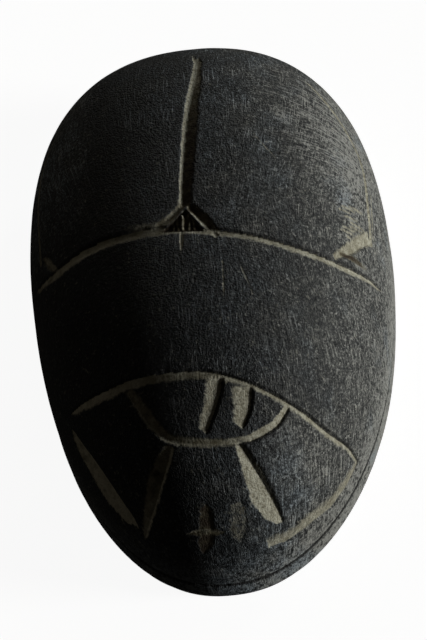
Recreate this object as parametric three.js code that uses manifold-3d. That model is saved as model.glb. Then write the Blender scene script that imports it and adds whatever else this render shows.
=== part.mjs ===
// A scarab amulet carved from one black stone: a domed beetle back with cut lines, on a flat underside.
// Millimetres, +Z up. The tail points to +Y and the head to -Y. The origin is the middle of the underside.
import * as THREE from "three";
import { mergeVertices } from "three/addons/utils/BufferGeometryUtils.js";
import Module from "manifold-3d";

const wasm = await Module();
wasm.setup();

// Sizes of the whole stone. The width is measured across the middle of the length.
const LENGTH = 60;
const MIDDLE_WIDTH = 37;
const DOME_HEIGHT = 20;
const EDGE_HEIGHT = 2.7;

// The outline seen from above: 2 would be an ellipse, and more is squarer.
const OUTLINE_POWER = 2.25;
// Growth of the width towards the tail, by the first, second and third power of the share of the half length.
const EGG = [0.114, 0.02, 0.064];
// How far the middle line has drifted to the left by the time it reaches the two tips.
const TIP_DRIFT = 0.3;
// The dome's section: the first keeps the crown full, the second makes it meet the edge upright.
const CROWN_POWER = 2.7;
const SIDE_POWER = 2.4;

// The rounded lower edge, and the line cut round the foot of the dome.
const EDGE_ROUND = 0.5;
const FOOT_LINE_WIDTH = 0.5;
const FOOT_LINE_DEPTH = 0.35;

// Facets of the dome, and the longest step along a cut.
const AROUND = 96;
const UPWARD = 17;
const STEP = 1.5;
// How far a cutter stands clear of the stone.
const CLEAR = 0.3;
// How far its point is lifted off the stone where the cut has died out.
const LIFT = 0.02;
// Points with which a cut's path is measured before it is stepped off.
const PATH_POINTS = 200;

// The cuts on the back. A path is given in shares of the half width and the half length.
// Each cut has a V section: left and right are the widths of its two walls, seen along the path from above,
// and depth is the height of the V. A list of sizes is spread evenly along the path.
// A run is the length in which a cut dies out at that end.
const CUTS = {
  suture: {
    path: [[-0.045, 0.063], [-0.034, 0.17], [-0.023, 0.252], [-0.009, 0.337], [0.009, 0.434],
      [0.032, 0.53], [0.059, 0.637], [0.072, 0.773]],
    left: [0.35, 0.35, 0.35, 0.4, 0.45, 0.5, 0.5, 0.45],
    right: [0.95, 1.05, 1.1, 1.2, 1.1, 0.9, 0.6, 0.35],
    depth: [0.32, 0.34, 0.34, 0.34, 0.32, 0.3, 0.26, 0.2],
    runOut: 1.5,
  },
  collar: {
    path: [[-0.93, -0.002], [-0.776, -0.026], [-0.632, -0.018], [-0.452, -0.01], [-0.227, -0.011],
      [-0.012, -0.025], [0.303, -0.071], [0.56, -0.113], [0.785, -0.127], [0.951, -0.1]],
    left: [0.15, 0.2, 0.2, 0.2, 0.2, 0.2, 0.2, 0.25, 0.3, 0.15],
    right: [0.6, 1.05, 1.1, 1.1, 1, 0.8, 0.7, 0.75, 0.8, 0.5],
    depth: [0.14, 0.2, 0.22, 0.24, 0.24, 0.24, 0.24, 0.25, 0.25, 0.18],
    runIn: 1.5,
    runOut: 1.5,
  },
  scutellumLeft: {
    path: [[-0.21, -0.015], [-0.115, 0.019], [-0.04, 0.066]],
    left: 0.5,
    right: [0.6, 0.5, 0.4],
    depth: [0.13, 0.16, 0.2],
    runIn: 0.6,
  },
  scutellumRight: {
    path: [[-0.021, 0.065], [0.044, 0.006], [0.128, -0.065]],
    left: [0.55, 0.9, 0.6],
    right: [0.3, 0.35, 0.35],
    depth: [0.25, 0.28, 0.22],
    runIn: 0.4,
  },
  shoulderRight: {
    path: [[0.734, -0.113], [0.816, -0.064], [0.918, 0.03]],
    left: [0.7, 1.3, 1.5],
    right: [0.25, 0.3, 0.3],
    depth: [0.2, 0.26, 0.24],
  },
  borderRight: {
    path: [[0.922, 0.03], [0.923, 0.15], [0.912, 0.348], [0.84, 0.482], [0.71, 0.618], [0.612, 0.7]],
    left: [0.27, 0.24, 0.2, 0.2],
    right: [0.27, 0.22, 0.2, 0.2],
    depth: [0.2, 0.2, 0.16, 0.12, 0.08],
    runOut: 4,
  },
  shoulderLeft: {
    path: [[-0.876, 0.078], [-0.827, 0.018], [-0.781, -0.033]],
    left: [0.7, 0.9, 0.7],
    right: [0.3, 0.45, 0.3],
    depth: 0.22,
    runIn: 1,
  },
  borderLeft: {
    path: [[-0.881, 0.06], [-0.888, 0.2], [-0.885, 0.35], [-0.849, 0.487], [-0.718, 0.631]],
    left: 0.22,
    right: 0.22,
    depth: [0.2, 0.2, 0.15, 0.1],
    runOut: 4,
  },
  brow: {
    path: [[-0.766, -0.495], [-0.636, -0.512], [-0.512, -0.52], [-0.394, -0.519], [-0.2, -0.525],
      [0.011, -0.537], [0.139, -0.559], [0.239, -0.582], [0.361, -0.614], [0.481, -0.644],
      [0.609, -0.67], [0.725, -0.655]],
    left: [0.15, 0.2, 0.2, 0.2, 0.2, 0.2, 0.2, 0.25, 0.25, 0.25, 0.25, 0.15],
    right: [0.5, 0.95, 1, 1.05, 0.95, 0.85, 0.65, 0.55, 0.5, 0.55, 0.6, 0.45],
    depth: [0.1, 0.12, 0.14, 0.16, 0.2, 0.22, 0.24, 0.22, 0.22, 0.22, 0.22, 0.16],
    runIn: 1.5,
  },
  shieldLeft: {
    path: [[-0.411, -0.552], [-0.383, -0.588], [-0.341, -0.634], [-0.289, -0.682], [-0.209, -0.722],
      [-0.105, -0.741], [0, -0.749], [0.12, -0.751]],
    left: [0.75, 1.05, 1.15, 1.1, 0.75, 0.7, 0.65, 0.5],
    right: [0.2, 0.2, 0.25, 0.3, 0.35, 0.4, 0.4, 0.35],
    depth: [0.12, 0.14, 0.16, 0.18, 0.2, 0.22, 0.22, 0.2],
  },
  shieldRight: {
    path: [[0.105, -0.753], [0.208, -0.746], [0.3, -0.721], [0.366, -0.691], [0.421, -0.644]],
    left: [0.55, 0.7, 0.8, 0.8, 0.6],
    right: 0.2,
    depth: [0.2, 0.24, 0.24, 0.24, 0.2],
  },
  noseLeft: {
    path: [[-0.015, -0.723], [0.014, -0.691], [0.051, -0.649], [0.082, -0.603], [0.096, -0.563]],
    left: [1, 1.2, 1.4, 1.6, 1.6],
    right: [0.2, 0.25, 0.25, 0.25, 0.25],
    depth: [0.22, 0.24, 0.26, 0.28, 0.26],
    runIn: 0.4,
  },
  noseRight: {
    path: [[0.173, -0.716], [0.209, -0.679], [0.235, -0.639], [0.242, -0.594]],
    left: [1.2, 1.6, 1.9, 2.1],
    right: [0.2, 0.25, 0.25, 0.25],
    depth: [0.22, 0.26, 0.28, 0.26],
    runIn: 0.4,
  },
  cheekLeftOuter: {
    path: [[-0.771, -0.519], [-0.723, -0.591], [-0.648, -0.678], [-0.581, -0.752], [-0.512, -0.818],
      [-0.446, -0.873]],
    left: [0.3, 0.7, 0.9, 0.9, 0.7, 0.4],
    right: [0.5, 1.2, 1.9, 2.2, 1.8, 0.8],
    depth: [0.16, 0.28, 0.36, 0.38, 0.34, 0.2],
    runIn: 1,
    runOut: 1.2,
  },
  cheekLeftInner: {
    path: [[-0.204, -0.743], [-0.238, -0.784], [-0.286, -0.827], [-0.336, -0.862], [-0.387, -0.883],
      [-0.428, -0.894]],
    left: [0.4, 0.4, 0.35, 0.35, 0.35, 0.3],
    right: [0.8, 1.4, 1.6, 1.3, 0.8, 0.3],
    depth: [0.18, 0.2, 0.2, 0.18, 0.16, 0.1],
    runOut: 1,
  },
  cheekRightInner: {
    path: [[0.318, -0.912], [0.301, -0.895], [0.264, -0.862], [0.215, -0.816], [0.167, -0.77],
      [0.136, -0.743]],
    left: [0.6, 1.6, 1.9, 1.35, 0.7, 0.35],
    right: [0.15, 0.3, 0.6, 0.7, 0.5, 0.25],
    depth: [0.16, 0.26, 0.34, 0.36, 0.3, 0.18],
    runIn: 0.3,
  },
  cheekRightOuter: {
    path: [[0.219, -0.963], [0.329, -0.932], [0.44, -0.882], [0.552, -0.815], [0.638, -0.746],
      [0.695, -0.69], [0.725, -0.655]],
    left: [1.8, 2.1, 2.3, 2.3, 2.3, 2.1, 1.3],
    right: 0.25,
    depth: [0.16, 0.2, 0.22, 0.22, 0.22, 0.2, 0.14],
    runIn: 0.3,
  },
  toothLeft: {
    path: [[-0.063, -0.885], [-0.054, -0.916], [-0.052, -0.946], [-0.08, -0.964], [-0.123, -0.977]],
    left: 0.45,
    right: [0.6, 1.1, 1.4, 1.2, 0.6],
    depth: [0.08, 0.12, 0.12, 0.1, 0.06],
    runIn: 1,
    runOut: 1.2,
  },
  toothRight: {
    path: [[0.125, -0.885], [0.13, -0.915], [0.118, -0.946], [0.085, -0.966]],
    left: 0.4,
    right: [1.4, 1.7, 1.7, 1.2],
    depth: [0.08, 0.1, 0.1, 0.08],
    runIn: 0.4,
    runOut: 0.6,
  },
};

// The sunk triangle between the two scutellum cuts: its corners and its depth.
const SCUTELLUM_FLOOR = {
  corners: [[-0.17, -0.03], [0.07, -0.045], [-0.03, 0.05]],
  depth: 0.3,
};

const halfLength = LENGTH / 2;
const halfWidth = MIDDLE_WIDTH / 2;

function signedPower(value, power) {
  return Math.sign(value) * Math.abs(value) ** power;
}

// Half the width at t, before the outline closes at the tips. t runs from -1 at the head to 1 at the tail.
function widthAt(t) {
  return halfWidth * (1 + t * (EGG[0] + t * (EGG[1] + t * EGG[2])));
}

// A point of the outline shrunk to a share of its size, at an angle from +X.
function outlinePoint(angle, share) {
  const t = share * signedPower(Math.sin(angle), 2 / OUTLINE_POWER);
  const x = share * signedPower(Math.cos(angle), 2 / OUTLINE_POWER) * widthAt(t);
  return [x - TIP_DRIFT * t * t, t * halfLength];
}

// The share of the outline that passes through a point: 0 in the middle, 1 on the outline itself.
function shareAt(x, y) {
  const t = y / halfLength;
  const across = Math.abs((x + TIP_DRIFT * t * t) / widthAt(t));
  return (across ** OUTLINE_POWER + Math.abs(t) ** OUTLINE_POWER) ** (1 / OUTLINE_POWER);
}

function domePoint(x, y) {
  const rest = Math.max(0, 1 - shareAt(x, y) ** CROWN_POWER);
  return new THREE.Vector3(x, y, EDGE_HEIGHT + DOME_HEIGHT * rest ** (1 / SIDE_POWER));
}

// Grows from the inside of the dome to the outside, and is 1 on its surface.
function fullness(p) {
  const rise = Math.max(0, p.z - EDGE_HEIGHT) / DOME_HEIGHT;
  return shareAt(p.x, p.y) ** CROWN_POWER + rise ** SIDE_POWER;
}

function domeNormal(p) {
  const small = 1e-3;
  const slope = (axis) => {
    const step = new THREE.Vector3().setComponent(axis, small);
    return fullness(p.clone().add(step)) - fullness(p.clone().sub(step));
  };
  return new THREE.Vector3(slope(0), slope(1), slope(2)).normalize();
}

// One level of the stone: a share of the outline and a height. From the underside to just below the pole.
function levels() {
  const list = [];
  const foot = EDGE_ROUND / halfWidth;
  for (const turn of [0, 0.25, 0.6, 1]) {
    const angle = (turn * Math.PI) / 2;
    list.push([1 - foot * (1 - Math.sin(angle)), EDGE_ROUND * (1 - Math.cos(angle))]);
  }
  list.push([1, EDGE_HEIGHT - FOOT_LINE_WIDTH / 2]);
  list.push([1 - FOOT_LINE_DEPTH / halfWidth, EDGE_HEIGHT]);
  for (let i = 0; i < UPWARD; i++) {
    const start = Math.asin((FOOT_LINE_WIDTH / 2 / DOME_HEIGHT) ** (SIDE_POWER / 2));
    const angle = start + ((Math.PI / 2 - start) * i) / UPWARD;
    const share = Math.cos(angle) ** (2 / CROWN_POWER);
    const rise = Math.sin(angle) ** (2 / SIDE_POWER);
    list.push([share, EDGE_HEIGHT + DOME_HEIGHT * rise]);
  }
  return list;
}

function solidFrom(points, faces) {
  const vertProperties = new Float32Array(points.flatMap((p) => [p.x, p.y, p.z]));
  const triVerts = new Uint32Array(faces.flat());
  return new wasm.Manifold(new wasm.Mesh({ numProp: 3, vertProperties, triVerts }));
}

// Rings of equally many points, joined into a closed skin. Each ring runs the same way round.
// The two ends are closed with a fan from the point given for each.
function skin(rings, firstCentre, lastCentre) {
  const count = rings[0].length;
  const points = rings.flat();
  const faces = [];
  for (let r = 0; r + 1 < rings.length; r++) {
    for (let i = 0; i < count; i++) {
      const a = r * count + i;
      const b = r * count + ((i + 1) % count);
      faces.push([a, b, b + count], [a, b + count, a + count]);
    }
  }
  const last = (rings.length - 1) * count;
  points.push(firstCentre, lastCentre);
  for (let i = 0; i < count; i++) {
    const next = (i + 1) % count;
    faces.push([next, i, points.length - 2], [last + i, last + next, points.length - 1]);
  }
  return solidFrom(points, faces);
}

function dome() {
  const rings = levels().map(([share, z]) =>
    Array.from({ length: AROUND }, (_, i) => {
      const [x, y] = outlinePoint((2 * Math.PI * i) / AROUND, share);
      return new THREE.Vector3(x, y, z);
    }),
  );
  return skin(rings, new THREE.Vector3(0, 0, 0), new THREE.Vector3(0, 0, EDGE_HEIGHT + DOME_HEIGHT));
}

// A size along a cut: a plain number, or a list spread evenly over the path.
function sizeAt(size, along) {
  if (!Array.isArray(size)) return size;
  const place = along * (size.length - 1);
  const i = Math.min(Math.floor(place), size.length - 2);
  return THREE.MathUtils.lerp(size[i], size[i + 1], place - i);
}

function centre(ring) {
  return ring[0].clone().add(ring[1]).add(ring[2]).divideScalar(3);
}

// A cutter with a V section that follows a path over the dome.
function cutter({ path, left, right, depth, runIn = 0, runOut = 0 }) {
  const flat = path.map(([x, y]) => new THREE.Vector3(x * halfWidth, y * halfLength, 0));
  const plan = new THREE.CatmullRomCurve3(flat, false, "catmullrom", 0.5);
  const feet = plan.getPoints(PATH_POINTS).map((p) => domePoint(p.x, p.y));
  const reach = [0];
  for (let i = 1; i < feet.length; i++) reach.push(reach[i - 1] + feet[i].distanceTo(feet[i - 1]));
  const total = reach[reach.length - 1];
  const count = Math.max(2, Math.ceil(total / STEP));
  const rings = [];
  for (let k = 0; k <= count; k++) {
    const gone = (total * k) / count;
    const i = Math.max(1, reach.findIndex((r) => r >= gone - 1e-9));
    const foot = feet[i - 1].clone().lerp(feet[i], (gone - reach[i - 1]) / (reach[i] - reach[i - 1]));
    const ahead = feet[i].clone().sub(feet[i - 1]).normalize();
    const up = domeNormal(foot);
    const side = up.clone().cross(ahead).normalize();
    const along = (i - 1 + (gone - reach[i - 1]) / (reach[i] - reach[i - 1])) / (feet.length - 1);
    const full = sizeAt(depth, along);
    const share = Math.min(1, runIn ? gone / runIn : 1, runOut ? (total - gone) / runOut : 1);
    const down = full * share - LIFT * (1 - share);
    const top = down + CLEAR;
    rings.push([
      foot.clone().addScaledVector(up, -down),
      foot.clone().addScaledVector(up, CLEAR).addScaledVector(side, (sizeAt(left, along) * top) / full),
      foot.clone().addScaledVector(up, CLEAR).addScaledVector(side, (-sizeAt(right, along) * top) / full),
    ]);
  }
  return skin(rings, centre(rings[0]), centre(rings[rings.length - 1]));
}

// A cutter for a sunk triangle with a flat floor, its corners given the same way as the paths.
function pocket({ corners, depth }) {
  const feet = corners.map(([x, y]) => domePoint(x * halfWidth, y * halfLength));
  const ring = (rise) => feet.map((p) => p.clone().addScaledVector(domeNormal(p), rise));
  const rings = [ring(-depth), ring(CLEAR)];
  return skin(rings, centre(rings[0]), centre(rings[1]));
}

let stone = dome();
for (const cut of Object.values(CUTS)) stone = stone.subtract(cutter(cut));
stone = stone.subtract(pocket(SCUTELLUM_FLOOR));

const mesh = stone.getMesh();
const geometry = new THREE.BufferGeometry();
geometry.setAttribute("position", new THREE.BufferAttribute(new Float32Array(mesh.vertProperties), 3));
geometry.setIndex(new THREE.BufferAttribute(new Uint32Array(mesh.triVerts), 1));
const scarab = new THREE.Mesh(
  mergeVertices(geometry, 1e-3),
  new THREE.MeshStandardMaterial({ color: 0x2e2f30, roughness: 0.75 }),
);
scarab.name = "scarab";

const group = new THREE.Group();
group.add(scarab);
export default group;
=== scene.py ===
# The dressed scarab: a fine carved mesh over the CAD solid, its stone, and a plain studio.
# Lengths are millimetres on the stone unless a comment says metres, and MM turns them into metres.
import math
import bpy
import numpy as np
from mathutils import Matrix, Vector, noise


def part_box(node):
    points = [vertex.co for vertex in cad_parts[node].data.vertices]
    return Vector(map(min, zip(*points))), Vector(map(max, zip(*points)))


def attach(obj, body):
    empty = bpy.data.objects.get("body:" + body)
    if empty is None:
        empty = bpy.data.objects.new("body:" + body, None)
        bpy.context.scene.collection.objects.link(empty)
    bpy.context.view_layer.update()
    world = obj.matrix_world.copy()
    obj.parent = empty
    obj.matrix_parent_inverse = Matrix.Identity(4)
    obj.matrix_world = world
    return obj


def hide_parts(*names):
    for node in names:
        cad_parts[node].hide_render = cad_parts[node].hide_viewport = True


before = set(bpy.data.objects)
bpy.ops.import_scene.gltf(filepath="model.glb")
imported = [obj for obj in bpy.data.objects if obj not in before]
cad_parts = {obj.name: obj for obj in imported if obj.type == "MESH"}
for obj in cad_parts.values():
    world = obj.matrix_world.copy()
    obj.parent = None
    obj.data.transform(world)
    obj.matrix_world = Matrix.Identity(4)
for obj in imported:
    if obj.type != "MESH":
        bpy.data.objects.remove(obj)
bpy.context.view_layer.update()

MM = 0.001

# The stone's form. The length comes from the frame, the rest repeats the part's own values. EGG says how
# the half width changes along the length, and TIP_DRIFT how far the two tips lie to the left.
low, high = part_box("scarab")
HALF_LENGTH = (high[1] - low[1]) / 2 / MM
HALF_WIDTH = 18.5
EDGE_HEIGHT = 2.7
DOME_HEIGHT = 20.0
OUTLINE_POWER = 2.25
EGG = (0.114, 0.02, 0.064)
TIP_DRIFT = 0.3
CROWN_POWER = 2.7
SIDE_POWER = 2.4
EDGE_ROUND = 0.5

# The mesh: cells of the coarsest grid, and how often they are halved on the plain dome, in a cut and at
# a cut's edges.
CELLS_ACROSS = 36
CELLS_ALONG = 50
PLAIN_LEVEL = 2
CUT_LEVEL = 3
SHARP_LEVEL = 4
# How far the finest cells reach from an edge, and the fine ones beside a cut and past its end.
SHARP_REACH = 0.1
CUT_REACH = 0.25
END_REACH = 0.3
# The finest cells also lie near the outline, in a band up and down from the foot line.
NEAR_OUTLINE = 0.97
FOOT_BAND = 0.2
# Samples along each span of a cut's path and down the stone's side, and points measured at a time.
PATH_SAMPLES = 60
CROWN_SAMPLES = 6000
WALL_SAMPLES = 200
ROUND_SAMPLES = 100
CHUNK = 4000
# Rings of the underside, as shares of its rim.
UNDERSIDE_RINGS = (0.93, 0.75, 0.5, 0.25)
# How far beside a cut its ragged lips and dust may reach, and how soon it ends past its last point.
CARVE_MARGIN = 0.6
CARVE_ENDING = 0.25
# The step between the places where each seed reads the noise.
SEED_STEP = 17.3
# The line round the foot of the dome: its depth and half its width.
FOOT_DEPTH = 0.46
FOOT_REACH = 0.36


def cut(path, left, right, depth, run_in=0.0, run_out=0.0, soil=((0.3,), (0.3,)), pale=(1.0, 1.0),
        ragged=(0.02, 0.02), soft=0.24, dark=(0.0, 0.0)):
    """A V cut. The path is in shares of the half width and half length; lists of sizes are spread along it.

    Left and right are the widths of the two walls, and a run is the length in which the cut dies out.
    The last five are for its dust and lips, left wall first: soil is how brown the dust is, pale how well
    it covers, ragged how uneven the lips are, soft how far the dust takes to thin out, and dark how black
    the lips are painted, a painted shadow.
    """
    return dict(path=path, left=left, right=right, depth=depth, run_in=run_in, run_out=run_out,
                soil=soil, pale=pale, ragged=ragged, soft=soft, dark=dark)


def scratch(start, end, width=0.12, depth=0.1, pale=0.8):
    """A short straight scratch that dies out at both ends."""
    return cut(
        [start, end], [width], [width], [depth], run_in=0.4, run_out=0.8,
        soil=((0.2,), (0.2,)), pale=(pale, pale), soft=0.1,
    )


CUTS = {
    "suture": cut(
        [(-0.045, 0.063), (-0.034, 0.17), (-0.023, 0.252), (-0.009, 0.337), (0.009, 0.434), (0.032, 0.53),
         (0.059, 0.637), (0.072, 0.773)],
        left=[0.35, 0.35, 0.35, 0.4, 0.45, 0.5, 0.5, 0.45],
        right=[0.95, 1.05, 1.1, 1.2, 1.1, 0.9, 0.6, 0.35],
        depth=[0.32, 0.34, 0.34, 0.34, 0.32, 0.3, 0.26, 0.2],
        run_out=1.5, soil=((0.1,), (0.9, 0.8, 0.7, 0.5, 0.2)), pale=(1, 0.9), ragged=(0.03, 0.16),
        dark=(0, 0.8),
    ),
    "collar": cut(
        [(-0.93, -0.002), (-0.776, -0.026), (-0.632, -0.018), (-0.452, -0.01), (-0.227, -0.011),
         (-0.012, -0.025), (0.303, -0.071), (0.56, -0.113), (0.785, -0.127), (0.951, -0.1)],
        left=[0.15, 0.2, 0.2, 0.2, 0.2, 0.2, 0.2, 0.25, 0.3, 0.15],
        right=[0.6, 1.05, 1.1, 1.1, 1, 0.8, 0.7, 0.75, 0.8, 0.5],
        depth=[0.14, 0.2, 0.22, 0.24, 0.24, 0.24, 0.24, 0.25, 0.25, 0.18],
        run_in=1.5, run_out=1.5, soil=((0.8, 0.5), (0.45, 0.35, 0.3, 0.15, 0.1, 0.1)), pale=(0.3, 1),
        ragged=(0.13, 0.06), soft=0.5, dark=(0.7, 0.1),
    ),
    "scutellum_left": cut(
        [(-0.21, -0.015), (-0.115, 0.019), (-0.04, 0.066)],
        left=[0.5],
        right=[0.6, 0.5, 0.4],
        depth=[0.13, 0.16, 0.2],
        run_in=0.6, soil=((0.3,), (0.3, 0.6)), ragged=(0.1, 0.06), soft=0.4,
    ),
    "scutellum_right": cut(
        [(-0.021, 0.065), (0.044, 0.006), (0.128, -0.065)],
        left=[0.55, 0.9, 0.6],
        right=[0.3, 0.35, 0.35],
        depth=[0.25, 0.28, 0.22],
        run_in=0.4, soil=((0.9, 0.7, 0.5), (0.1,)), ragged=(0.13, 0.03), dark=(0.6, 0),
    ),
    "shoulder_right": cut(
        [(0.734, -0.113), (0.816, -0.064), (0.918, 0.03)],
        left=[0.7, 1.3, 1.5],
        right=[0.25, 0.3, 0.3],
        depth=[0.2, 0.26, 0.24],
        soil=((0.3, 0.1), (0.2,)), ragged=(0.1, 0.04), soft=0.5,
    ),
    "border_right": cut(
        [(0.922, 0.03), (0.923, 0.15), (0.912, 0.348), (0.84, 0.482), (0.71, 0.618), (0.612, 0.7)],
        left=[0.27, 0.24, 0.2, 0.2],
        right=[0.27, 0.22, 0.2, 0.2],
        depth=[0.2, 0.2, 0.16, 0.12, 0.08],
        run_out=4, soil=((0,), (0.1,)), ragged=(0.05, 0.05), soft=0.07,
    ),
    "shoulder_left": cut(
        [(-0.876, 0.078), (-0.827, 0.018), (-0.781, -0.033)],
        left=[0.7, 0.9, 0.7],
        right=[0.3, 0.45, 0.3],
        depth=[0.22],
        run_in=1, soil=((0.5,), (0.7,)), pale=(0.75, 0.75), ragged=(0.1, 0.1), soft=0.4,
    ),
    "border_left": cut(
        [(-0.881, 0.06), (-0.888, 0.2), (-0.885, 0.35), (-0.849, 0.487), (-0.718, 0.631)],
        left=[0.22],
        right=[0.22],
        depth=[0.2, 0.2, 0.15, 0.1],
        run_out=4, soil=((0.6,), (0.6,)), pale=(0.85, 0.85), soft=0.12,
    ),
    "brow": cut(
        [(-0.766, -0.495), (-0.636, -0.512), (-0.512, -0.52), (-0.394, -0.519), (-0.2, -0.525),
         (0.011, -0.537), (0.139, -0.559), (0.239, -0.582), (0.361, -0.614), (0.481, -0.644),
         (0.609, -0.67), (0.725, -0.655)],
        left=[0.15, 0.2, 0.2, 0.2, 0.2, 0.2, 0.2, 0.25, 0.25, 0.25, 0.25, 0.15],
        right=[0.5, 0.95, 1, 1.05, 0.95, 0.85, 0.65, 0.55, 0.5, 0.55, 0.6, 0.45],
        depth=[0.1, 0.12, 0.14, 0.16, 0.2, 0.22, 0.24, 0.22, 0.22, 0.22, 0.22, 0.16],
        run_in=1.5, soil=((0.6, 0.5), (0.4, 0.3, 0.2, 0.1, 0.1)), pale=(0.3, 1), ragged=(0.12, 0.06),
        soft=0.45, dark=(0.75, 0.1),
    ),
    "shield_left": cut(
        [(-0.411, -0.552), (-0.383, -0.588), (-0.341, -0.634), (-0.289, -0.682), (-0.209, -0.722),
         (-0.105, -0.741), (0, -0.749), (0.12, -0.751)],
        left=[0.75, 1.05, 1.15, 1.1, 0.75, 0.7, 0.65, 0.5],
        right=[0.2, 0.2, 0.25, 0.3, 0.35, 0.4, 0.4, 0.35],
        depth=[0.12, 0.14, 0.16, 0.18, 0.2, 0.22, 0.22, 0.2],
        soil=((0.6, 0.5, 0.4, 0.3), (0.2,)), pale=(0.95, 1), ragged=(0.1, 0.03), soft=0.4, dark=(0.3, 0),
    ),
    "shield_right": cut(
        [(0.105, -0.753), (0.208, -0.746), (0.3, -0.721), (0.366, -0.691), (0.421, -0.644)],
        left=[0.55, 0.7, 0.8, 0.8, 0.6],
        right=[0.2],
        depth=[0.2, 0.24, 0.24, 0.24, 0.2],
        soil=((0.1,), (0.5,)), pale=(1, 0.4), ragged=(0.08, 0.06), dark=(0, 0.6),
    ),
    "nose_left": cut(
        [(-0.015, -0.723), (0.014, -0.691), (0.051, -0.649), (0.082, -0.603), (0.096, -0.563)],
        left=[1, 1.2, 1.4, 1.6, 1.6],
        right=[0.2, 0.25, 0.25, 0.25, 0.25],
        depth=[0.22, 0.24, 0.26, 0.28, 0.26],
        run_in=0.4, soil=((0.1,), (0.6,)), pale=(1, 0.3), ragged=(0.1, 0.06), soft=0.7, dark=(0, 0.6),
    ),
    "nose_right": cut(
        [(0.173, -0.716), (0.209, -0.679), (0.235, -0.639), (0.242, -0.594)],
        left=[1.2, 1.6, 1.9, 2.1],
        right=[0.2, 0.25, 0.25, 0.25],
        depth=[0.22, 0.26, 0.28, 0.26],
        run_in=0.4, soil=((0.1,), (0.6,)), pale=(1, 0.3), ragged=(0.1, 0.06), soft=0.7, dark=(0, 0.6),
    ),
    "cheek_left_outer": cut(
        [(-0.771, -0.519), (-0.723, -0.591), (-0.648, -0.678), (-0.581, -0.752), (-0.512, -0.818),
         (-0.446, -0.873)],
        left=[0.3, 0.7, 0.9, 0.9, 0.7, 0.4],
        right=[0.5, 1.2, 1.9, 2.2, 1.8, 0.8],
        depth=[0.16, 0.28, 0.36, 0.38, 0.34, 0.2],
        run_in=1, run_out=1.2, soil=((0.3,), (0.5, 0.3, 0.2)), ragged=(0.05, 0.18), soft=0.4,
    ),
    "cheek_left_inner": cut(
        [(-0.204, -0.743), (-0.238, -0.784), (-0.286, -0.827), (-0.336, -0.862), (-0.387, -0.883),
         (-0.428, -0.894)],
        left=[0.4, 0.4, 0.35, 0.35, 0.35, 0.3],
        right=[0.8, 1.4, 1.6, 1.3, 0.8, 0.3],
        depth=[0.18, 0.2, 0.2, 0.18, 0.16, 0.1],
        run_out=1, soil=((0.1,), (0.4, 0.6, 0.45, 0.3)), ragged=(0.04, 0.14), soft=0.4,
    ),
    "cheek_right_inner": cut(
        [(0.318, -0.912), (0.301, -0.895), (0.264, -0.862), (0.215, -0.816), (0.167, -0.77),
         (0.136, -0.743)],
        left=[0.6, 1.6, 1.9, 1.35, 0.7, 0.35],
        right=[0.15, 0.3, 0.6, 0.7, 0.5, 0.25],
        depth=[0.16, 0.26, 0.34, 0.36, 0.3, 0.18],
        run_in=0.3, soil=((0.05,), (0.6,)), pale=(1, 0.5), ragged=(0.06, 0.14), soft=0.35, dark=(0, 0.8),
    ),
    "cheek_right_outer": cut(
        [(0.219, -0.963), (0.329, -0.932), (0.44, -0.882), (0.552, -0.815), (0.638, -0.746),
         (0.695, -0.69), (0.725, -0.655)],
        left=[1.8, 2.1, 2.3, 2.3, 2.3, 2.1, 1.3],
        right=[0.25],
        depth=[0.16, 0.2, 0.22, 0.22, 0.22, 0.2, 0.14],
        run_in=0.3, soil=((0.2,), (0.2,)), pale=(0.7, 0.4), ragged=(0.14, 0.05), soft=1.3,
    ),
    "tooth_left": cut(
        [(-0.063, -0.885), (-0.054, -0.916), (-0.052, -0.946), (-0.08, -0.964), (-0.123, -0.977)],
        left=[0.45],
        right=[0.6, 1.1, 1.4, 1.2, 0.6],
        depth=[0.08, 0.12, 0.12, 0.1, 0.06],
        run_in=1, run_out=1.2, soil=((0.65,), (0.8,)), pale=(0.85, 0.85), ragged=(0.14, 0.2), soft=0.4,
    ),
    "tooth_right": cut(
        [(0.125, -0.885), (0.13, -0.915), (0.118, -0.946), (0.085, -0.966)],
        left=[0.4],
        right=[1.4, 1.7, 1.7, 1.2],
        depth=[0.08, 0.1, 0.1, 0.08],
        run_in=0.4, run_out=0.6, soil=((0.2,), (0.3,)), pale=(0.3, 0.3), ragged=(0.1, 0.15), soft=0.6,
    ),
    "nick": cut(
        [(-0.066, -0.125), (-0.055, -0.04)],
        left=[0.19],
        right=[0.19],
        depth=[0.13],
        run_in=1.6, soil=((0,), (0,)), soft=0.12,
    ),
    "barb": cut(
        [(-0.205, -0.938), (-0.105, -0.944), (-0.02, -0.949), (0.04, -0.947)],
        left=[0.2, 0.5, 0.5, 0.2],
        right=[0.2, 0.5, 0.5, 0.2],
        depth=[0.14],
        run_in=1.4, run_out=1.4, soil=((0.4,), (0.5,)), ragged=(0.1, 0.1), soft=0.25,
    ),
    "tail_branch": cut(
        [(0.055, 0.73), (0.036, 0.785)],
        left=[0.2],
        right=[0.2],
        depth=[0.15],
        run_out=1.2, soil=((0,), (0,)), soft=0.12,
    ),
    "long_scratch": scratch((0.365, 0.331), (0.477, 0.228), 0.07, 0.05, 0.5),
    "cheek_scratch": scratch((-0.575, -0.775), (-0.53, -0.835), 0.16, 0.1, 0.5),
    "rim_scratch": scratch((0.935, 0.05), (0.943, 0.26), 0.09, 0.06, 0.8),
    "neck_scratch": scratch((0.15, -0.15), (0.143, -0.3), 0.07, 0.04, 0.5),
    "slant_scratch": scratch((0.23, -0.16), (0.306, -0.31), 0.08, 0.04, 0.4),
}

# Rubbing marks across the right wing case, from the collar towards the tail.
RUB_COUNT = 9
for step in range(RUB_COUNT):
    across = 0.79 + 0.03 * math.sin(5 * step)
    along = -0.01 + 0.016 * step
    CUTS["rub_%d" % step] = scratch((across, along), (across + 0.09, along + 0.006), 0.15, 0.03, 0.8)

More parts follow.
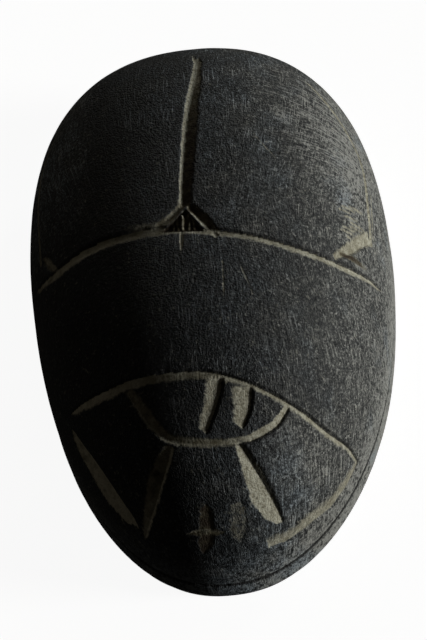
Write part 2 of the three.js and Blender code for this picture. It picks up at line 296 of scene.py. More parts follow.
# A row of short dashes above the left end of the brow line.
for step, across in enumerate((-0.635, -0.62, -0.606, -0.59, -0.576)):
    CUTS["dash_%d" % step] = scratch((across, -0.42), (across + 0.003, -0.432), 0.08, 0.06, 0.4)

# The small sunk triangle: its corners in shares, and its depth.
SCUTELLUM_FLOOR = ((-0.17, -0.03), (0.07, -0.045), (-0.03, 0.05))
SCUTELLUM_DEPTH = 0.3
# The chisel marks on that floor: the place across in shares of the half width, and how far each stands up.
# They run along it over this span of millimetres.
CHISEL_MARKS = ((-0.1, 0.1), (-0.076, 0.12), (-0.05, 0.26), (-0.016, 0.14), (0.008, 0.12))
CHISEL_SPAN = (-0.9, 0.9)
# Places rubbed pale: the middle in shares, the reach across and along in millimetres, and the strength.
SCUFFS = (
    ((-0.45, -0.9), (5.0, 3.0), 0.4),
    ((-0.25, -0.005), (2.0, 0.6), 0.8),
    ((0.835, 0.1), (1.5, 2.6), 0.4),
    ((0.79, -0.02), (1.4, 1.0), 0.4),
    ((-0.81, -0.003), (0.8, 1.0), 0.8),
    ((0.06, -0.39), (0.5, 0.35), 0.6),
    ((0.44, -0.76), (4.5, 5.0), 0.34),
    ((0.88, 0.3), (4.0, 10.0), 0.3),
)
# Loose dust beside the cuts, in the same way.
DUSTINGS = (
    ((-0.26, 0.0), (2.6, 0.7), 0.55),
    ((-0.05, 0.08), (0.8, 1.0), 0.4),
    ((0.83, 0.05), (1.6, 1.6), 0.15),
)
# Painted shade: places made darker, on the face and the back left, in the same way.
PAINTED_SHADE_PLACES = (
    ((-0.06, -0.63), (5.5, 2.8), 0.8),
    ((-0.12, -0.86), (3.4, 4.0), 0.4),
    ((-0.46, 0.22), (2.6, 9.0), 0.7),
)
# Brown stains, in the same way.
STAINS = (
    ((0.815, -0.085), (1.7, 0.5), 1.0),
    ((0.01, 0.045), (0.9, 0.6), 0.8),
    ((-0.306, -0.796), (0.9, 0.6), 0.9),
)


def width_at(t):
    """The half width at a share of the half length, with the egg's fuller tail."""
    return HALF_WIDTH * (1 + t * (EGG[0] + t * (EGG[1] + t * EGG[2])))


def share_at(x, y):
    """How far out a place is on the plan: 0 at the crown and 1 on the outline."""
    t = y / HALF_LENGTH
    across = np.abs((x + TIP_DRIFT * t * t) / width_at(t))
    return (across**OUTLINE_POWER + np.abs(t) ** OUTLINE_POWER) ** (1 / OUTLINE_POWER)


def dome_points(plan):
    """Places on the plan lifted onto the dome."""
    rest = np.maximum(0, 1 - share_at(plan[:, 0], plan[:, 1]) ** CROWN_POWER)
    z = EDGE_HEIGHT + DOME_HEIGHT * rest ** (1 / SIDE_POWER)
    return np.column_stack([plan, z])


def unit(vectors):
    return vectors / np.maximum(np.linalg.norm(vectors, axis=1, keepdims=True), 1e-12)


def dome_normals(points):
    """Outward normals of the plain dome, as the slope of its implicit function."""
    def fullness(p):
        rise = np.maximum(p[:, 2] - EDGE_HEIGHT, 0) / DOME_HEIGHT
        return share_at(p[:, 0], p[:, 1]) ** CROWN_POWER + rise**SIDE_POWER

    small = 1e-3
    steps = np.eye(3) * small
    return unit(np.column_stack([fullness(points + s) - fullness(points - s) for s in steps]))


def profile():
    """Shares and heights down the stone's side, with the length gone by, from the crown to the underside."""
    angle = np.linspace(math.pi / 2, 0, CROWN_SAMPLES)
    share = np.cos(angle) ** (2 / CROWN_POWER)
    height = EDGE_HEIGHT + DOME_HEIGHT * np.sin(angle) ** (2 / SIDE_POWER)
    share[0] = 0
    wall = np.linspace(EDGE_HEIGHT, EDGE_ROUND, WALL_SAMPLES)[1:]
    turn = np.linspace(0, math.pi / 2, ROUND_SAMPLES)[1:]
    inset = EDGE_ROUND / HALF_WIDTH
    share = np.concatenate([share, np.ones(len(wall)), 1 - inset * (1 - np.cos(turn))])
    height = np.concatenate([height, wall, EDGE_ROUND * (1 - np.sin(turn))])
    mean_radius = (HALF_WIDTH + HALF_LENGTH) / 2
    length = np.concatenate([[0], np.cumsum(np.hypot(np.diff(share) * mean_radius, np.diff(height)))])
    return length / length[-1], share, height, length[-1]


*PROFILE, PROFILE_LENGTH = profile()


def signed_power(value, power):
    return np.sign(value) * np.abs(value) ** power


def surface(reach, angle):
    """Points of the plain stone: reach is 0 at the crown and 1 where the underside starts."""
    share = np.interp(reach, PROFILE[0], PROFILE[1])
    z = np.interp(reach, PROFILE[0], PROFILE[2])
    t = share * signed_power(np.sin(angle), 2 / OUTLINE_POWER)
    x = share * signed_power(np.cos(angle), 2 / OUTLINE_POWER) * width_at(t) - TIP_DRIFT * t * t
    return np.column_stack([x, t * HALF_LENGTH, z])


def square_to_disc(u, v):
    """The unit square spread over the unit disc: each point's distance from the middle and its angle."""
    x = u * np.sqrt(1 - v * v / 2)
    y = v * np.sqrt(1 - u * u / 2)
    return np.hypot(x, y), np.arctan2(y, x)


def stone_normals(reach, angle):
    """Outward normals of the plain stone, from its slopes down and around."""
    small = 1e-4
    down = surface(np.minimum(reach + small, 1), angle) - surface(np.maximum(reach - small, 0), angle)
    around = surface(reach, angle + small) - surface(reach, angle - small)
    normals = unit(np.cross(down, around))
    normals[reach < 2 * small] = (0, 0, 1)
    return normals


def spread(sizes, along):
    """A list of sizes spread evenly over a path, read at each share of the way along it."""
    if len(sizes) == 1:
        return np.full(len(along), sizes[0])
    return np.interp(along, np.linspace(0, 1, len(sizes)), sizes)


def trace(one):
    """Samples along a cut: feet on the dome, their frames, and the cut's sizes there."""
    nodes = np.array(one["path"], float) * (HALF_WIDTH, HALF_LENGTH)
    nodes = np.vstack([2 * nodes[0] - nodes[1], nodes, 2 * nodes[-1] - nodes[-2]])
    spans = len(nodes) - 3
    along = np.linspace(0, 1, PATH_SAMPLES * spans + 1)
    span = np.minimum((along * spans).astype(int), spans - 1)
    f = (along * spans - span)[:, None]
    a, b, c, d = (nodes[span + k] for k in range(4))
    plan = 0.5 * (2 * b + (c - a) * f + (2 * a - 5 * b + 4 * c - d) * f**2 + (3 * b - a - 3 * c + d) * f**3)
    feet = dome_points(plan)
    ahead = unit(np.gradient(feet, axis=0))
    up = dome_normals(feet)
    side = unit(np.cross(up, ahead))
    gone = np.concatenate([[0], np.cumsum(np.linalg.norm(np.diff(feet, axis=0), axis=1))])
    fade = np.ones(len(feet))
    if one["run_in"]:
        fade = np.minimum(fade, gone / one["run_in"])
    if one["run_out"]:
        fade = np.minimum(fade, (gone[-1] - gone) / one["run_out"])
    sizes = {k: spread(one[k], along) * fade for k in ("left", "right", "depth")}
    return dict(feet=feet, ahead=ahead, side=side, gone=gone, **sizes)


TRACES = {name: trace(one) for name, one in CUTS.items()}


def beside(points, line):
    """The nearest sample of a cut, the signed distance to its left, and the distance past an end."""
    nearest = np.empty(len(points), int)
    for start in range(0, len(points), CHUNK):
        part = points[start:start + CHUNK]
        gaps = ((part[:, None, :] - line["feet"][None, :, :]) ** 2).sum(2)
        nearest[start:start + CHUNK] = gaps.argmin(1)
    offset = points - line["feet"][nearest]
    aside = (offset * line["side"][nearest]).sum(1)
    past = (offset * line["ahead"][nearest]).sum(1)
    at_end = (nearest == 0) & (past < 0) | (nearest == len(line["feet"]) - 1) & (past > 0)
    return nearest, aside, np.where(at_end, np.abs(past), 0.0)


def near(points, line, margin):
    """Which points lie in the box around a cut."""
    low_corner = line["feet"].min(0) - margin
    high_corner = line["feet"].max(0) + margin
    return np.nonzero(((points > low_corner) & (points < high_corner)).all(1))[0]


def wanted_level(points, radius):
    """How fine the mesh should be at each point, given the size of the cell around it."""
    level = np.full(len(points), PLAIN_LEVEL)
    for line in TRACES.values():
        reach = max(line["left"].max(), line["right"].max()) + CUT_REACH + radius.max()
        some = near(points, line, reach)
        if not len(some):
            continue
        nearest, aside, past = beside(points[some], line)
        slack = radius[some]
        left, right = line["left"][nearest], line["right"][nearest]
        inside = (aside < left + CUT_REACH + slack) & (aside > -right - CUT_REACH - slack)
        inside &= past < END_REACH + slack
        edges = np.minimum(np.abs(aside), np.minimum(np.abs(aside - left), np.abs(aside + right)))
        sharp = inside & (edges < SHARP_REACH + slack)
        level[some[inside]] = np.maximum(level[some[inside]], CUT_LEVEL)
        level[some[sharp]] = SHARP_LEVEL
    line_gap = np.abs(points[:, 2] - EDGE_HEIGHT)
    low_down = share_at(points[:, 0], points[:, 1]) > NEAR_OUTLINE
    level[low_down & (line_gap < FOOT_BAND + radius)] = SHARP_LEVEL
    return level


def grid_points(i, j, steps):
    """Grid corners as reach and angle on the plain stone. i and j count the finest steps."""
    u = 2.0 * i / (CELLS_ACROSS * steps) - 1
    v = 2.0 * j / (CELLS_ALONG * steps) - 1
    reach, angle = square_to_disc(u, v)
    return reach, angle


def split_cells():
    """Cells as their lower corner and size in finest steps, halved until each is fine enough."""
    steps = 2**SHARP_LEVEL
    i, j = np.meshgrid(np.arange(CELLS_ACROSS), np.arange(CELLS_ALONG), indexing="ij")
    cells = np.column_stack([i.ravel() * steps, j.ravel() * steps])
    done = []
    for level in range(SHARP_LEVEL + 1):
        size = steps >> level
        if level == SHARP_LEVEL:
            done.append(np.column_stack([cells, np.full(len(cells), size)]))
            break
        corners = [
            surface(*grid_points(cells[:, 0] + a, cells[:, 1] + b, steps))
            for a in (0, size) for b in (0, size)
        ]
        middle = sum(corners) / 4
        radius = np.max([np.linalg.norm(c - middle, axis=1) for c in corners], axis=0)
        finer = wanted_level(middle, radius) > level
        done.append(np.column_stack([cells[~finer], np.full((~finer).sum(), size)]))
        kept = cells[finer]
        half = size // 2
        cells = np.vstack([kept + (a, b) for a in (0, half) for b in (0, half)])
    return np.vstack(done), steps


def build_grid():
    """Vertices (in finest steps) and faces of the upper skin, closed against cells of other sizes."""
    cells, steps = split_cells()
    wide, long = CELLS_ACROSS * steps + 1, CELLS_ALONG * steps + 1
    used = np.zeros((wide, long), bool)
    for a in (0, 1):
        for b in (0, 1):
            used[cells[:, 0] + a * cells[:, 2], cells[:, 1] + b * cells[:, 2]] = True
    half = cells[:, 2] // 2
    i, j, s = cells.T
    hanging = np.zeros(len(cells), bool)
    big = s > 1
    for a, b in ((half, 0 * s), (s, half), (half, s), (0 * s, half)):
        hanging |= big & used[i + a, j + b]
    fans = cells[hanging]
    used[fans[:, 0] + fans[:, 2] // 2, fans[:, 1] + fans[:, 2] // 2] = True
    number = np.full((wide, long), -1)
    corners = np.argwhere(used)
    number[used] = np.arange(len(corners))
    i, j, s = cells[~hanging].T
    faces = np.column_stack([number[i, j], number[i + s, j], number[i + s, j + s], number[i, j + s]]).tolist()
    for i, j, s in fans.tolist():
        edge = [(i + k, j) for k in range(s)] + [(i + s, j + k) for k in range(s)]
        edge += [(i + s - k, j + s) for k in range(s)] + [(i, j + s - k) for k in range(s)]
        ring = [number[p] for p in edge if used[p]]
        middle = number[i + s // 2, j + s // 2]
        faces += [[ring[k - 1], ring[k], middle] for k in range(len(ring))]
    border = [(k, 0) for k in range(wide - 1)] + [(wide - 1, k) for k in range(long - 1)]
    border += [(wide - 1 - k, long - 1) for k in range(wide - 1)]
    border += [(0, long - 1 - k) for k in range(long - 1)]
    rim = [int(number[p]) for p in border if used[p]]
    reach, angle = grid_points(corners[:, 0], corners[:, 1], steps)
    return reach, angle, faces, rim


def wobble(points, size, seed):
    """Smooth noise from -1 to 1 with features of the given size, different for each seed."""
    scaled = points / size + seed * SEED_STEP
    return np.array([noise.noise(Vector(p)) for p in scaled.tolist()])


def carve(points):
    """How deep each point is cut, how much dust it holds, how brown that is, and the painted shadow on the
    lips.
    """
    depth = np.zeros(len(points))
    dust = np.zeros(len(points))
    soil = np.zeros(len(points))
    lips = np.zeros(len(points))
    for number, (name, line) in enumerate(TRACES.items()):
        one = CUTS[name]
        some = near(points, line, max(line["left"].max(), line["right"].max()) + CARVE_MARGIN)
        nearest, aside, past = beside(points[some], line)
        here = points[some]
        wall = np.where(aside > 0, 0, 1)
        chips = 0.7 * wobble(here, 0.8, number) + wobble(here, 0.3, number + 50)
        width = np.where(wall == 0, line["left"][nearest], line["right"][nearest])
        width = np.maximum(width + np.take(one["ragged"], wall) * chips, 1e-3)
        inward = 1 - np.abs(aside) / width
        ending = np.clip(1 - past / CARVE_ENDING, 0, 1)
        full = line["depth"][nearest] * (1 + 0.1 * wobble(here, 1.5, number + 90))
        deep = full * np.clip(inward, 0, 1) * ending
        depth[some] = np.maximum(depth[some], deep)
        fuzz = 0.06 + 0.04 * wobble(here, 0.25, number + 70)
        cover = np.clip((inward * width + fuzz) / one["soft"], 0, 1) * ending
        cover *= np.clip(line["depth"][nearest] / 0.04, 0, 1) * np.take(one["pale"], wall)
        along = nearest / (len(line["feet"]) - 1)
        brown = np.where(wall == 0, spread(one["soil"][0], along), spread(one["soil"][1], along))
        more = cover > dust[some]
        soil[some[more]] = brown[more]
        dust[some] = np.maximum(dust[some], cover)
        # Painted shadow: the lips given as dark are blackened from just outside the edge to 0.3 mm in.
        inside = inward * width + 0.08 * wobble(here, 0.4, number + 110)
        lip = np.take(one["dark"], wall) * np.clip((inside + 0.14) / 0.1, 0, 1)
        lip *= np.clip(1 - inside / 0.3, 0, 1)
        lips[some] = np.maximum(lips[some], lip * ending * np.clip(line["depth"][nearest] / 0.1, 0, 1))
    return depth, dust, soil, lips


def patches(points, table):
    """Soft round places from a table of scuffs, stains, dust or painted shade, from 0 to 1."""
    strongest = np.zeros(len(points))
    for (across, along), (reach_across, reach_along), strength in table:
        x = (points[:, 0] - across * HALF_WIDTH) / reach_across
        y = (points[:, 1] - along * HALF_LENGTH) / reach_along
        strongest = np.maximum(strongest, strength * np.clip(1.3 - 1.3 * np.hypot(x, y), 0, 1))
    strongest[points[:, 2] < EDGE_HEIGHT] = 0
    return strongest


def foot_line(points):
    """How deep the line round the foot of the dome is at each point."""
    gap = np.abs(points[:, 2] - EDGE_HEIGHT + 0.03 * wobble(points, 2.5, 7))
    near_edge = share_at(points[:, 0], points[:, 1]) > 0.95
    strength = 0.85 + 0.5 * wobble(points, 3.0, 8) + 0.6 * wobble(points, 0.6, 9)
    line = FOOT_DEPTH * np.clip(strength, 0.2, 1.1) * np.clip(1 - gap / FOOT_REACH, 0, 1)
    return np.where(near_edge, line, 0)


def pocket(points):
    """The small sunk triangle: its floor from 0 to 1, and how far its chisel marks stand up."""
    corners = dome_points(np.array(SCUTELLUM_FLOOR) * (HALF_WIDTH, HALF_LENGTH))[:, :2]
    inside = np.full(len(points), np.inf)
    for k in range(3):
        start, end = corners[k], corners[(k + 1) % 3]
        edge = (end - start) / np.linalg.norm(end - start)
        gap = edge[0] * (points[:, 1] - start[1]) - edge[1] * (points[:, 0] - start[0])
        inside = np.minimum(inside, gap)
    floor = np.clip(inside / 0.15, 0, 1)
    floor[points[:, 2] < EDGE_HEIGHT + DOME_HEIGHT / 2] = 0
    marks = np.zeros(len(points))
    for place, height in CHISEL_MARKS:
        aside = np.abs(points[:, 0] - place * HALF_WIDTH + 0.04 * np.sin(4 * points[:, 1] + 60 * place))
        marks = np.maximum(marks, height * np.clip(1.3 - aside / 0.14, 0, 1))
    low_end, high_end = CHISEL_SPAN
    marks *= (points[:, 1] > low_end) & (points[:, 1] < high_end)
    return floor, marks * floor


def wear_less_shade(points):
    """How far each point is rubbed pale: low on the dome, also painted sheen, and in scuffs; less in painted
    shade.
    """
    # Paler low on the dome: rubbing, and painted sheen along the rim.
    low_down = 0.9 * np.clip((9 - points[:, 2]) / 8, 0, 1)
    return np.maximum(patches(points, SCUFFS), low_down) - patches(points, PAINTED_SHADE_PLACES)


def unevenness(points):
    """A slow waviness of about a tenth of a millimetre, with none at the underside."""
    uneven = 0.05 + 0.05 * wobble(points, 7.0, 3) + 0.012 * wobble(points, 1.6, 4)
    return uneven * np.clip((points[:, 2] - EDGE_ROUND) / 0.5, 0, 1)


def close_underneath(points, faces, rim):
    """Adds the flat underside: rings inside the rim, and the point in the middle."""
    first, count = len(points), len(rim)
    rings = [points[rim] * (share, share, 0) for share in UNDERSIDE_RINGS]
    points = np.vstack([points] + rings + [[(0, 0, 0)]])
    levels = [rim] + [list(range(first + k * count, first + (k + 1) * count)) for k in range(len(rings))]
    for outer, inner in zip(levels, levels[1:]):
        faces += [[outer[k], outer[k - 1], inner[k - 1], inner[k]] for k in range(count)]
    faces += [[levels[-1][k], levels[-1][k - 1], len(points) - 1] for k in range(count)]
    return points, faces


def keep(mesh, label, kind, slot, values):
    """Stores one value or vector for each point, for the material to read."""
    layer = mesh.attributes.new(label, kind, "POINT")
    layer.data.foreach_set(slot, values.ravel().astype(np.float32))


def build_scarab():
    """The carved mesh, with its dust, brownness, rubbing and painted shade as attributes."""
    reach, angle, faces, rim = build_grid()
    plain = surface(reach, angle)
    depth, dust, soil, lips = carve(plain)
    floor, marks = pocket(plain)
    stains = patches(plain, STAINS)
    foot = foot_line(plain)
    depth = np.maximum(depth, SCUTELLUM_DEPTH * floor) - marks
    dust = np.maximum(dust, np.maximum(0.95 * np.maximum(floor, stains), patches(plain, DUSTINGS)))
    soil = np.maximum(np.where(floor > 0.3, 1 - 4.5 * marks, soil), stains)
    # Painted shade: black in the foot line and along the shaded lips of the cuts.
    painted_shade = np.maximum(np.clip(foot / 0.08, 0, 1), lips)
    carved = plain - stone_normals(reach, angle) * (depth + foot + unevenness(plain))[:, None]
    points, faces = close_underneath(carved, faces, rim)

    mesh = bpy.data.meshes.new("carved_scarab")
    mesh.from_pydata((points * MM).tolist(), [], faces)
    mesh.validate()
    underside = np.zeros(len(points) - len(plain))
    for label, values in (("dust", dust), ("soil", soil), ("worn_less_shade", wear_less_shade(plain)), ("painted_shade", painted_shade)):
        keep(mesh, label, "FLOAT", "value", np.concatenate([values, underside]))
    skin = reach[:, None] * PROFILE_LENGTH * unit(plain[:, :2])
    under = points[len(plain):, :2] + (0, 4 * HALF_LENGTH)
    flat = np.column_stack([np.vstack([skin, under]), np.zeros(len(points))])
    keep(mesh, "flat", "FLOAT_VECTOR", "vector", flat)
    mesh.shade_smooth()
    piece = bpy.data.objects.new("carved_scarab", mesh)
    bpy.context.collection.objects.link(piece)
    return piece


class Graph:
    """Short calls that make and join the nodes of one material."""

    def __init__(self, tree):
        self.tree = tree

    def node(self, kind, inputs, **settings):
        made = self.tree.nodes.new(kind)
        for name, value in settings.items():
            setattr(made, name, value)
        for name, value in inputs.items():
            if isinstance(value, bpy.types.NodeSocket):
                self.tree.links.new(value, made.inputs[name])
            else:
                made.inputs[name].default_value = value
        return made

    def attribute(self, name, output="Fac"):
        return self.node("ShaderNodeAttribute", {}, attribute_name=name).outputs[output]

    def math(self, operation, first, second):
        return self.node("ShaderNodeMath", {0: first, 1: second}, operation=operation).outputs[0]

    def total(self, *values):
        result = values[0]
        for value in values[1:]:
            result = self.math("ADD", result, value)
        return result

    def times(self, first, second):
        return self.math("MULTIPLY", first, second)

    def more(self, first, second):
        return self.math("MAXIMUM", first, second)

    def between(self, value, start, end):
        """0 where the value is at or before start, 1 at or past end, and straight between."""
        inputs = {"Value": value, "From Min": start, "From Max": end}
        return self.node("ShaderNodeMapRange", inputs).outputs["Result"]

    def stretch(self, vector, size, turn=0.0, shift=0.0):
        """Coordinates in which a feature of the given size, turned by degrees, measures one."""
        inputs = {"Vector": vector, "Location": (shift, shift, shift), "Rotation": (0, 0, math.radians(turn)),
                  "Scale": size}
        return self.node("ShaderNodeMapping", inputs, vector_type="TEXTURE").outputs["Vector"]

    def noise(self, vector, detail):
        inputs = {"Vector": vector, "Scale": 1.0, "Detail": detail, "Roughness": 0.6}
        return self.node("ShaderNodeTexNoise", inputs).outputs["Fac"]

    def gap(self, vector, place):
        inputs = {0: vector, 1: place}
        return self.node("ShaderNodeVectorMath", inputs, operation="DISTANCE").outputs["Value"]

    def cells(self, vector):
        """Distance to the middle of the nearest of many scattered cells, and a number for each cell."""
        made = self.node("ShaderNodeTexVoronoi", {"Vector": vector, "Scale": 1.0})
        number = self.node("ShaderNodeSeparateColor", {"Color": made.outputs["Color"]}).outputs["Red"]
        return made.outputs["Distance"], number

    def blend(self, factor, first, second):
        inputs = {"Factor": factor, "A": first, "B": second}
        return self.node("ShaderNodeMix", inputs, data_type="RGBA").outputs["Result"]


# Colours: the stone's dark skin, the same skin rubbed pale, the dust in the cuts from pale to brown, a
# brighter dust painted as light on the shaded left, the pits, and the black of painted shade in the foot line
# and lips.
SKIN_DARK = (0.004, 0.0055, 0.007, 1)
SKIN_PALE = (0.310, 0.312, 0.292, 1)
SKIN_BLUE = (0.262, 0.305, 0.340, 1)
DUST_PAINTED_LIGHT = (0.800, 0.760, 0.600, 1)
DUST_PALE = (0.490, 0.475, 0.385, 1)
DUST_OLIVE = (0.150, 0.132, 0.082, 1)
DUST_BROWN = (0.042, 0.030, 0.018, 1)
PIT_DARK = (0.008, 0.008, 0.009, 1)
PAINTED_SHADE_BLACK = (0.004, 0.004, 0.004, 1)

# Scratches all over, as width and length in millimetres, turn in degrees, shift, where they start to show,
# and strength.
STREAKS = (
    (0.15, 3.5, 2, 0, 0.58, 0.9),
    (0.12, 2.2, -10, 31, 0.60, 0.9),
    (0.12, 2.4, 21, 57, 0.62, 0.9),
    (0.12, 1.8, -48, 83, 0.66, 0.8),
)
# The place of the curved sanding marks near the tail, in the flattened millimetres of the stone's skin.
SANDING_PLACE = (14.5, 15.0, 0.0)
SANDING_REACH = 11.0
# The same for the straight marks on the right cheek.
COMBED_PLACE = (10.0, -28.0, 0.0)
COMBED_REACH = 9.0

# Painted light and shade: how pale the skin gets depends on its place, as in the photograph, where it is
# dark on the shaded left and pale down the lit right flank. The paleness everywhere, what the right adds,
# and the span in which it comes in.
PAINTED_LIGHT_LEAST = 0.12
PAINTED_LIGHT_RIGHT = 0.73
PAINTED_LIGHT_SPAN = (-9.0, 4.0)
# That span moves across towards the head and back again at the chin, as (start and end along, shift).
PAINTED_LIGHT_SHIFTS = ((14.0, -14.0, -7.0), (-19.0, -25.0, 4.0))
# What else adds to the painted light, as (axis, start, end, amount): low down, the left rim and the right
# flank.
PAINTED_LIGHT_SIDES = (("Z", 9.0, 3.0, 0.4), ("X", -12.0, -17.0, 0.2), ("X", 11.0, 18.0, 1.5))


class Stone(Graph):
    """The stone's patterns, which its colour, roughness and relief share. Sizes are in millimetres."""

    def __init__(self, tree):
        super().__init__(tree)
        self.place = self.node("ShaderNodeTexCoord", {}).outputs["Object"]
        self.flat = self.attribute("flat", "Vector")
        self.sides = self.node("ShaderNodeSeparateXYZ", {"Vector": self.place}).outputs
        self.mottle = self.grain(0.8)
        self.fine = self.grain(0.3, 2.0)
        self.knoll, self.mineral = self.scatter(0.17, 5)
        self.brushed = self.streaks(0.24, 1.4, 2, 19, 3.0)
        self.lines = self.long_lines()
        self.sanding = self.sanding_marks()
        self.pits = self.small_pits()

    def along_side(self, axis, start, end):
        """From 0 to 1 between two places on one axis of the stone."""
        return self.between(self.sides[axis], start * MM, end * MM)

    def grain(self, size, detail=3.0, shift=0.0):
        return self.noise(self.stretch(self.place, (size * MM,) * 3, shift=shift * MM), detail)

    def scatter(self, size, shift=0.0):
        return self.cells(self.stretch(self.place, (size * MM,) * 3, shift=shift * MM))

    def streaks(self, width, length, turn, shift, detail):
        return self.noise(self.stretch(self.flat, (width, length, 1), turn, shift), detail)

    def long_lines(self):
        """Thin scratches, mostly lengthwise, that come and go in spots."""
        lines = 0.0
        for width, length, turn, shift, start, strength in STREAKS:
            spots = self.between(self.grain(2.5, 2.0, shift + 11), 0.4, 0.6)
            streak = self.between(self.streaks(width, length, turn, shift, 1.0), start, start + 0.12)
            lines = self.more(lines, self.times(streak, self.times(spots, strength)))
        return lines

    def sanding_marks(self):
        """Curved marks near the tail and straight ones on the right cheek."""
        near_tail = self.between(self.gap(self.flat, SANDING_PLACE), SANDING_REACH, SANDING_REACH * 0.4)
        curved = self.between(self.streaks(3.4, 0.22, 8, 5, 2.0), 0.46, 0.62)
        on_cheek = self.between(self.gap(self.flat, COMBED_PLACE), COMBED_REACH, COMBED_REACH * 0.5)
        straight = self.between(self.streaks(0.24, 3.2, 0, 43, 2.0), 0.5, 0.66)
        return self.more(self.times(near_tail, curved), self.times(on_cheek, straight))

    def small_pits(self):
        """Small ragged pits, in a fifth of the cells that could hold one."""
        distance, lot = self.scatter(0.9)
        pits = self.between(self.total(distance, self.times(self.fine, 0.5)), 0.5, 0.36)
        return self.times(pits, self.between(lot, 0.8, 0.82))

    def painted_light(self, specks_and_painted_light):
        """Painted light and shade: how pale the skin may get at its place on the stone."""
        shifts = [
            self.times(self.along_side("Y", start, end), shift * MM) for start, end, shift in PAINTED_LIGHT_SHIFTS
        ]
        start, end = PAINTED_LIGHT_SPAN
        right = self.between(self.total(self.sides["X"], *shifts), start * MM, end * MM)
        others = [
            self.times(self.along_side(axis, start, end), amount) for axis, start, end, amount in PAINTED_LIGHT_SIDES
        ]
        return self.total(PAINTED_LIGHT_LEAST, self.times(right, PAINTED_LIGHT_RIGHT), specks_and_painted_light, *others)

    def rubbing(self):
        """Skin rubbed pale: grain, minerals, scratches, scuffs, rubbing and painted sheen low down, less
        painted shade.
        """
        shares = ((self.grain(4.0), 0.10), (self.mottle, 0.20), (self.fine, 0.35), (self.brushed, 0.32))
        patterns = [self.times(self.between(pattern, 0.3, 0.7), share) for pattern, share in shares]
        worn_less_shade = self.times(
            self.attribute("worn_less_shade"), self.between(self.total(self.fine, self.mottle), 0.75, 1.25))
        marks = self.total(self.times(self.lines, 0.85), self.times(self.sanding, 0.5))
        rubbed = self.total(*patterns, self.times(self.mineral, 0.4), marks, worn_less_shade)
        return self.math("POWER", self.between(rubbed, 0.3, 1.3), 2.4)

    def skin(self):
        """The stone's colour with painted light and shade: dark, paler where rubbed, bluish in places,
        glints, dark pits.
        """
        # Painted light on the left of the tail, which also strengthens the glints there.
        specks_and_painted_light = self.times(self.along_side("X", -9.5, -12), self.along_side("Y", 1, 10))
        pale = self.painted_light(specks_and_painted_light)
        glints = self.times(self.between(self.mineral, 0.86, 1), self.between(self.fine, 0.4, 0.65))
        # The glints are brighter where the painted light is.
        glow = self.total(self.times(pale, 0.15), 0.22, self.times(specks_and_painted_light, 0.5))
        bright = self.total(self.times(self.rubbing(), pale), self.times(glints, glow))
        # Painted shade: the skin turns bluer towards the shaded left.
        painted_shade_blue = self.times(self.along_side("X", 12, 2), 0.3)
        blue = self.between(self.total(self.grain(5.0, shift=21), painted_shade_blue), 0.55, 0.85)
        color = self.blend(bright, SKIN_DARK, self.blend(blue, SKIN_PALE, SKIN_BLUE))
        return self.blend(self.times(self.pits, 0.8), color, PIT_DARK)

    def powder(self):
        """The dust's colour, from pale through olive to brown, with painted light brightening it on the left.
        """
        soil = self.attribute("soil")
        olive = self.between(self.total(soil, self.times(self.grain(0.9, shift=9), 1.2)), 0.62, 1.15)
        brown = self.between(self.total(soil, self.times(self.mottle, 1.2)), 0.95, 1.5)
        color = self.blend(olive, DUST_PALE, DUST_OLIVE)
        color = self.blend(self.times(self.between(self.fine, 0.5, 0.3), 0.6), color, DUST_OLIVE)
        color = self.blend(self.times(self.between(self.mineral, 0.4, 1), 0.5), color, DUST_OLIVE)
        # Painted light: the dust on the shaded left is brightened.
        color = self.blend(self.times(self.along_side("X", -3, -12), 0.45), color, DUST_PAINTED_LIGHT)
        return self.blend(brown, color, DUST_BROWN)

    def dust_cover(self):
        """How well the dust hides the skin, uneven with the grain."""
        grain = self.math("SUBTRACT", self.total(self.fine, self.mottle), 1.0)
        thick = self.total(self.attribute("dust"), self.times(grain, 0.9))
        return self.times(self.between(thick, 0.15, 0.75), 0.96)

    def relief(self, cover):
        """The height of grain, scratches and pits, smoother where there is dust."""
        height = self.total(
            self.times(self.fine, 0.16), self.times(self.mottle, 0.09), self.times(self.brushed, 0.05),
            self.times(self.knoll, -0.07), self.times(self.mineral, 0.02),
            self.times(self.more(self.lines, self.sanding), -0.05), self.times(self.pits, -0.08),
        )
        return self.times(height, self.total(1.0, self.times(cover, -0.55)))


def stone_material():
    """Dull black stone, scratched mostly lengthwise, with pale dust in the cuts."""
    material = bpy.data.materials.new("black_stone")
    material.use_nodes = True
    tree = material.node_tree
    stone = Stone(tree)
    shader = tree.nodes["Principled BSDF"]
    cover = stone.dust_cover()
    color = stone.blend(cover, stone.skin(), stone.powder())
    # Painted shade: black in the foot line and on the lips.
    color = stone.blend(stone.times(stone.attribute("painted_shade"), 0.92), color, PAINTED_SHADE_BLACK)
    tree.links.new(color, shader.inputs["Base Color"])
    roughness = stone.total(0.56, stone.times(stone.mottle, 0.2), stone.times(cover, 0.3))
    tree.links.new(roughness, shader.inputs["Roughness"])
    shader.inputs["Specular IOR Level"].default_value = 0.35
    bump = stone.node("ShaderNodeBump", {"Height": stone.relief(cover), "Distance": MM, "Strength": 1.0})
    tree.links.new(bump.outputs["Normal"], shader.inputs["Normal"])
    return material


# Half the floor's side, in metres.
FLOOR_HALF = 1.5


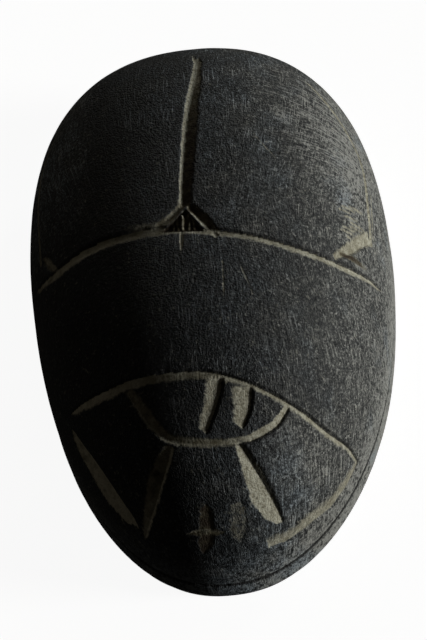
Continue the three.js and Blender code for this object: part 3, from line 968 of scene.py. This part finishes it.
def build_stage():
    """A pale floor that glows a little, so that the dark stone stands on near white with a faint shadow."""
    mesh = bpy.data.meshes.new("floor")
    corners = [(x * FLOOR_HALF, y * FLOOR_HALF, 0) for x, y in ((-1, -1), (1, -1), (1, 1), (-1, 1))]
    mesh.from_pydata(corners, [], [(0, 1, 2, 3)])
    floor = bpy.data.objects.new("floor", mesh)
    bpy.context.collection.objects.link(floor)
    material = bpy.data.materials.new("pale_floor")
    material.use_nodes = True
    shader = material.node_tree.nodes["Principled BSDF"]
    shader.inputs["Base Color"].default_value = (0.35, 0.35, 0.35, 1)
    shader.inputs["Roughness"].default_value = 1
    shader.inputs["Specular IOR Level"].default_value = 0
    shader.inputs["Emission Color"].default_value = (1, 1, 1, 1)
    shader.inputs["Emission Strength"].default_value = 0.93
    mesh.materials.append(material)
    floor.visible_diffuse = False
    floor.visible_glossy = False


# The lights, as name, azimuth from +X towards +Y, elevation, strength, colour and softness. Degrees.
LIGHTS = (
    ("key", -8, 6, 2.65, (1, 1, 0.96), 16),
    ("side", 45, 6, 0.7, (0.95, 1, 1), 16),
    ("tail", 84, 9, 0.26, (1, 0.94, 0.82), 18),
    ("fill", 158, 13, 0.05, (1, 0.88, 0.7), 14),
)


def build_lights():
    """Soft suns, mostly from the right, as in the photograph."""
    for name, azimuth, elevation, strength, color, softness in LIGHTS:
        data = bpy.data.lights.new(name, "SUN")
        data.energy = strength
        data.color = color
        data.angle = math.radians(softness)
        light = bpy.data.objects.new(name, data)
        a, e = math.radians(azimuth), math.radians(elevation)
        away = Vector((math.cos(a) * math.cos(e), math.sin(a) * math.cos(e), math.sin(e)))
        light.rotation_euler = away.to_track_quat("Z", "Y").to_euler()
        bpy.context.collection.objects.link(light)


def build_world():
    """A faint even light, and a pale backdrop where the camera looks past the floor."""
    world = bpy.data.worlds.new("studio")
    world.use_nodes = True
    graph = Graph(world.node_tree)
    seen = graph.node("ShaderNodeLightPath", {}).outputs["Is Camera Ray"]
    faint = graph.node("ShaderNodeBackground", {"Color": (1, 0.93, 0.82, 1), "Strength": 0.014})
    pale = graph.node("ShaderNodeBackground", {"Color": (1, 1, 1, 1), "Strength": 0.95})
    mixed = graph.node("ShaderNodeMixShader", {0: seen, 1: faint.outputs[0], 2: pale.outputs[0]})
    output = world.node_tree.nodes["World Output"]
    world.node_tree.links.new(mixed.outputs[0], output.inputs["Surface"])
    bpy.context.scene.world = world


# The camera: its turns in degrees, the point it looks at in millimetres, its distance in metres and its lens.
CAMERA_TURNS = (30.81, 5.12, -3.73)
CAMERA_AIM = (0.225, -2.868, 8.235)
CAMERA_DISTANCE = 0.3
CAMERA_LENS = 166.56


def build_camera():
    """The photograph's view: from above the head, a little to the right, and turned slightly."""
    tilt, pan, roll = (math.radians(turn) for turn in CAMERA_TURNS)
    back = Vector((math.sin(pan) * math.cos(tilt), -math.sin(tilt), math.cos(pan) * math.cos(tilt)))
    right = Vector((0, 1, 0)).cross(back).normalized()
    up = back.cross(right)
    turned_right = right * math.cos(roll) + up * math.sin(roll)
    turned_up = up * math.cos(roll) - right * math.sin(roll)
    data = bpy.data.cameras.new("camera")
    data.lens = CAMERA_LENS
    data.sensor_width = 36
    data.clip_start = 0.01
    camera = bpy.data.objects.new("camera", data)
    place = Matrix((turned_right, turned_up, back)).transposed().to_4x4()
    place.translation = Vector(CAMERA_AIM) * MM + back * CAMERA_DISTANCE
    camera.matrix_world = place
    bpy.context.collection.objects.link(camera)
    bpy.context.scene.camera = camera


scarab = build_scarab()
scarab.data.materials.append(stone_material())
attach(scarab, "root")
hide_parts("scarab")
build_stage()
build_lights()
build_world()
build_camera()
bpy.context.scene.view_settings.view_transform = "Standard"
